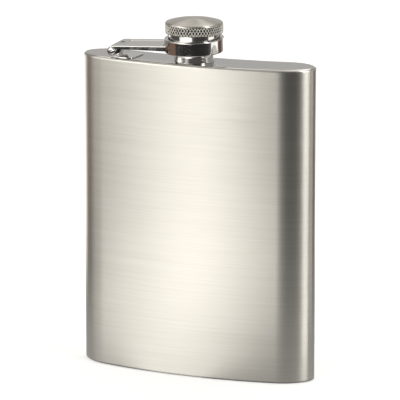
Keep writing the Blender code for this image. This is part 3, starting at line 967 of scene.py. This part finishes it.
WRAP = brushed("brushed_wrap", "level", (0.612, 0.590, 0.535), (0.712, 0.692, 0.642), 0.33, "radial",
               rim=True)
PLATE = brushed("brushed_top", "x", (0.56, 0.55, 0.54), (0.66, 0.65, 0.64), 0.17, "uv", 0.45, 0.45)
POLISH = polished("polished_steel", (0.74, 0.73, 0.71))
POLISH_SMALL = polished("polished_small", (0.72, 0.71, 0.69), 0.07, 1.4)
SATIN = turned_satin("turned_satin", (0.58, 0.548, 0.495), (0.715, 0.68, 0.615), 0.34)
SEAL = rubber("silicone")

# ---- pieces ------------------------------------------------------------------
wrap = make_wrap()
plate_top = make_plate("plate_top", R_TOP_EDGE + 0.13, BODY_H - PLATE_T, BODY_H - 0.005, 6.7, True)
plate_bottom = make_plate("plate_bottom", R_BOT_EDGE + SEAM, 0.0, PLATE_T, 0.0, False)
neck = make_neck()
leaf = make_leaf()
pin = make_pin()
arm = make_arm()
joint = make_arm_joint()
collar = make_collar()
knob = make_knob()
skirt = make_sleeve()
snap = make_snap_ring()
seal = make_seal()

for ob in (plate_top, plate_bottom):
    planar_uv(ob, (0, 1, 0), (1, 0, 0))

PIECES = [
    (wrap, "flask", WRAP, "brushed_steel", ["body_shell"]),
    (plate_top, "flask", PLATE, "brushed_plate", ["top_plate"]),
    (plate_bottom, "flask", PLATE, "brushed_plate", ["bottom_plate"]),
    (neck, "flask", POLISH, "polished_steel", ["neck_tube"]),
    (leaf, "flask", POLISH_SMALL, "polished_steel", ["hinge_leaf"]),
    (pin, "flask", POLISH_SMALL, "polished_steel", ["hinge_pin"]),
    (arm, "arm", POLISH_SMALL, "polished_steel", ["hinge_arm"]),
    (joint, "arm", POLISH_SMALL, "polished_steel", []),
    (collar, "arm", POLISH, "polished_steel", ["collar_cup"]),
    (knob, "cap", SATIN, "satin_steel", ["cap_knob"]),
    (skirt, "cap", POLISH, "polished_steel", ["cap_sleeve"]),
    (snap, "cap", POLISH_SMALL, "polished_steel", ["cap_snap_ring"]),
    (seal, "seal", SEAL, "silicone", ["cap_seal"]),
]
for ob, body, mat, slot, nodes in PIECES:
    ob.data.materials.clear()
    ob.data.materials.append(mat)
    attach(ob, body)
    if nodes:
        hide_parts(*nodes)

# ---- studio ------------------------------------------------------------------
DEG = math.pi / 180


def azimuth_stops(pairs, tint=(1.0, 0.985, 0.955)):
    """(degrees, level) pairs from -180 to 180 as ramp stops."""
    out = []
    for d, v in pairs:
        colour = v[1] if isinstance(v, tuple) else tint
        level = v[0] if isinstance(v, tuple) else v
        out.append(((d + 180) / 360, tuple(level * c for c in colour)))
    return out


WARM = (1.0, 0.62, 0.44)
PINK = (1.0, 0.93, 0.90)
UPPER = [(-180, 0.11), (-165, 0.33), (-152, 0.34), (-138, 0.31), (-128, 0.40), (-120, 0.69),
         (-112, 0.94), (-104, 0.70), (-97, 0.40), (-90, 0.26), (-80, 0.15), (-70, 0.06),
         (-60, 0.022), (-40, 0.02), (-27, 0.03), (-20, 0.20), (-15, 1.00), (-4, 1.00),
         (0, 0.20), (6, 0.09), (36, 0.07), (60, 0.08), (84, 0.10), (104, 0.115),
         (124, 0.115), (140, 0.09), (160, 0.065), (180, 0.08)]
MIDDLE = [(-180, 0.03), (-124, 0.03), (-119, 0.13), (-112, 0.16), (-106, 0.13),
          (-99, 0.04), (-90, 0.02), (4, 0.02), (10, 0.26), (44, 0.26), (50, 0.03),
          (84, 0.10), (104, 0.115), (124, 0.115), (140, 0.09), (160, 0.05), (180, 0.03)]
EDGE = [(-180, 0.02), (-152, 0.02), (-147, 0.27), (-138, 0.30), (-128, 0.38), (-120, 0.60),
        (-112, 0.74), (-104, 0.60), (-97, 0.40), (-91, 0.28), (-87, 0.03), (-60, 0.012),
        (-10, 0.012), (6, 0.03), (10, 0.30), (46, 0.30), (50, (0.03, WARM)), (68, (0.03, WARM)),
        (76, (0.10, PINK)), (84, (0.40, PINK)), (148, (0.40, PINK)), (156, 0.04), (180, 0.02)]
LOWER = [(-180, (0.05, WARM)), (-150, (0.05, WARM)), (-141, 0.009), (-60, 0.006), (0, 0.006),
         (7, 0.02), (10, 0.05), (38, 0.05), (44, (0.037, WARM)), (66, (0.037, WARM)),
         (76, (0.12, PINK)), (84, (0.45, PINK)), (148, (0.45, PINK)), (156, 0.075),
         (170, (0.05, WARM)), (180, (0.05, WARM))]
TOP = [(-180, 0.135), (-140, 0.11), (-113, 0.10), (-60, 0.12), (0, 0.205), (40, 0.22), (70, 0.22),
       (113, 0.205), (150, 0.18), (180, 0.135)]
LOBES = [((78, 56), 5, 15, 0.45), ((134, 52), 5, 14, 0.30)]
GAIN = 4.6
FLOOR_GLOW = 0.42
FLOOR_WINDOW = 1.0

world = bpy.data.worlds.new("studio")
bpy.context.scene.world = world
w = Tree(world)
direction = w.add("ShaderNodeTexCoord").outputs["Generated"]
xyz = w.add("ShaderNodeSeparateXYZ")
w.put(xyz.inputs[0], direction)
az = w.math("ARCTAN2", xyz.outputs[1], xyz.outputs[0])
el = w.math("ARCSINE", xyz.outputs[2])
# The large lamp leans one way and the strip lamp the other, so their azimuth moves with height.
lean_big = w.math("MULTIPLY", w.remap(az, -75 * DEG, -55 * DEG, 1.15, 0.0, "SMOOTHSTEP"),
                  w.remap(az, -174 * DEG, -162 * DEG, 0.0, 1.0, "SMOOTHSTEP"))
lean_strip = w.math("MULTIPLY", w.remap(az, -7 * DEG, 45 * DEG, -0.4, -1.2),
                    w.math("MULTIPLY", w.remap(az, -30 * DEG, -16 * DEG, 0.0, 1.0, "SMOOTHSTEP"),
                           w.remap(az, 55 * DEG, 80 * DEG, 1.0, 0.0, "SMOOTHSTEP")))
el_soft = w.math("MAXIMUM", w.math("MINIMUM", el, 14 * DEG), -14 * DEG)
az_lean = w.math("ADD", az, w.math("MULTIPLY", el_soft, w.math("ADD", lean_big, lean_strip)))
az01 = w.remap(az, -math.pi, math.pi, 0.0, 1.0)
lean01 = w.remap(az_lean, -math.pi, math.pi, 0.0, 1.0)
az_window = w.math("ADD", az, w.math("MULTIPLY", el_soft, lean_big))
window01 = w.remap(az_window, -math.pi, math.pi, 0.0, 1.0)
upper = w.ramp(window01, azimuth_stops(UPPER))
middle = w.ramp(az01, azimuth_stops(MIDDLE))
edge = w.ramp(lean01, azimuth_stops(EDGE))
lower = w.ramp(az01, azimuth_stops(LOWER))
top = w.ramp(az01, azimuth_stops(TOP))
in_lamp = w.math("MULTIPLY", w.remap(az, -90 * DEG, -70 * DEG, 1.0, 0.0, "SMOOTHSTEP"),
                 w.remap(az, -172 * DEG, -160 * DEG, 0.0, 1.0, "SMOOTHSTEP"))
top_from = w.remap(in_lamp, 0.0, 1.0, 42 * DEG, 26 * DEG)
top_share = w.math("DIVIDE", w.math("SUBTRACT", el, top_from), 15 * DEG, None, True)
colour = w.mix(w.remap(el, -14.0 * DEG, -12.6 * DEG, 0.0, 1.0), lower, edge)
colour = w.mix(w.remap(el, -8.5 * DEG, -5.0 * DEG, 0.0, 1.0), colour, upper)
near = w.math("MULTIPLY", w.remap(el, 5.5 * DEG, 7.0 * DEG, 0.0, 1.0),
              w.remap(el, 12.5 * DEG, 14.0 * DEG, 1.0, 0.0))
colour = w.mix(near, colour, middle)
colour = w.mix(top_share, colour, top)
for (lobe_az, lobe_el), inner, outer, level in LOBES:
    aim = (math.cos(lobe_el * DEG) * math.cos(lobe_az * DEG),
           math.cos(lobe_el * DEG) * math.sin(lobe_az * DEG), math.sin(lobe_el * DEG))
    share = w.remap(w.vec("DOT_PRODUCT", direction, aim), math.cos(outer * DEG),
                    math.cos(inner * DEG), 0.0, 1.0, "SMOOTHSTEP")
    colour = w.mix(share, colour, (level, level * 0.985, level * 0.955, 1.0))
bg = w.add("ShaderNodeBackground")
w.put(bg.inputs["Color"], colour)
bg.inputs["Strength"].default_value = GAIN
out = w.add("ShaderNodeOutputWorld")
w.t.links.new(bg.outputs[0], out.inputs[0])

# Pale floor with a faint mottled paper tone, and a pale surround that only the lens sees.
floor_mesh = bpy.data.meshes.new("studio_floor")
floor_mesh.from_pydata([(-4, -4, 0), (4, -4, 0), (4, 4, 0), (-4, 4, 0)], [], [(0, 1, 2, 3)])
floor = bpy.data.objects.new("studio_floor", floor_mesh)
SCENE.objects.link(floor)
fm = bpy.data.materials.new("pale_floor")
t = Tree(fm)
co = t.add("ShaderNodeTexCoord").outputs["Object"]
tone = t.noise(co, 3.0, 3.0, 0.5)
t.finish(t.mix(tone, (0.90, 0.90, 0.895, 1), (0.93, 0.93, 0.925, 1)), 0.9, None, 0.0,
         extra={"Emission Color": (1.0, 1.0, 0.995, 1), "Emission Strength": 0.42,
                "Specular IOR Level": 0.1})
floor_mesh.materials.append(fm)
floor.visible_glossy = False

# What the steel sees of the lit floor round the flask: bright close by, nothing further out.
glow_mesh = bpy.data.meshes.new("studio_floor_glow")
glow_bm = bmesh.new()
bmesh.ops.create_circle(glow_bm, cap_ends=True, segments=64, radius=0.30,
                        matrix=Matrix.Translation((0, 0, -0.0005)))
glow_bm.to_mesh(glow_mesh)
glow_bm.free()
glow = bpy.data.objects.new("studio_floor_glow", glow_mesh)
SCENE.objects.link(glow)
gm = bpy.data.materials.new("floor_glow")
t = Tree(gm)
spot = t.add("ShaderNodeTexCoord").outputs["Object"]
reach = t.vec("LENGTH", spot)
spot_xyz = t.add("ShaderNodeSeparateXYZ")
t.put(spot_xyz.inputs[0], spot)
spot_az = t.math("ARCTAN2", spot_xyz.outputs[1], spot_xyz.outputs[0])
lit = t.math("MULTIPLY", t.remap(spot_az, -165 * DEG, -140 * DEG, 0.0, 1.0, "SMOOTHSTEP"),
             t.remap(spot_az, -72 * DEG, -42 * DEG, 1.0, 0.0, "SMOOTHSTEP"))
strength = t.mix(lit, FLOOR_GLOW, FLOOR_WINDOW, "FLOAT")
g_em = t.add("ShaderNodeEmission")
g_em.inputs[0].default_value = (1.0, 0.985, 0.955, 1)
t.put(g_em.inputs[1], t.math("MULTIPLY", strength, t.remap(reach, 0.10, 0.28, 1.0, 0.12)))
g_clear = t.add("ShaderNodeBsdfTransparent")
g_mix = t.add("ShaderNodeMixShader")
t.put(g_mix.inputs[0], t.remap(reach, 0.12, 0.295, 1.0, 0.0, "SMOOTHSTEP"))
t.t.links.new(g_em.outputs[0], g_mix.inputs[2])
t.t.links.new(g_clear.outputs[0], g_mix.inputs[1])
o = t.add("ShaderNodeOutputMaterial")
t.t.links.new(g_mix.outputs[0], o.inputs[0])
glow_mesh.materials.append(gm)
for flag in ("camera", "diffuse", "transmission", "shadow", "volume_scatter"):
    setattr(glow, "visible_" + flag, False)

bpy.ops.mesh.primitive_uv_sphere_add(segments=48, ring_count=24, radius=4.5, location=(0, 0, 0))
dome = bpy.context.object
dome.name = "studio_surround"
dm = bpy.data.materials.new("pale_surround")
t = Tree(dm)
em = t.add("ShaderNodeEmission")
em.inputs[0].default_value = (1.0, 1.0, 1.0, 1)
em.inputs[1].default_value = 1.0
o = t.add("ShaderNodeOutputMaterial")
t.t.links.new(em.outputs[0], o.inputs[0])
dome.data.materials.clear()
dome.data.materials.append(dm)
dome.visible_glossy = False
dome.visible_diffuse = False
dome.visible_transmission = False
dome.visible_shadow = False
dome.visible_volume_scatter = False

# ---- camera ------------------------------------------------------------------
cam_data = bpy.data.cameras.new("camera")
cam_data.sensor_width = 36.0
cam_data.lens = 303.0
cam_data.clip_start = 0.05
cam_data.clip_end = 20.0
camera = bpy.data.objects.new("camera", cam_data)
SCENE.objects.link(camera)
camera.location = (0.49660, -1.16493, 0.35865)
back = Vector((0.38082, -0.89716, 0.22376)).normalized()
camera.rotation_mode = "QUATERNION"
camera.rotation_quaternion = (-back).to_track_quat("-Z", "Y")
bpy.context.scene.camera = camera

bpy.context.scene.view_settings.view_transform = "Standard"
bpy.context.scene.view_settings.look = "None"
bpy.context.scene.view_settings.exposure = 0.0

bpy.context.view_layer.update()
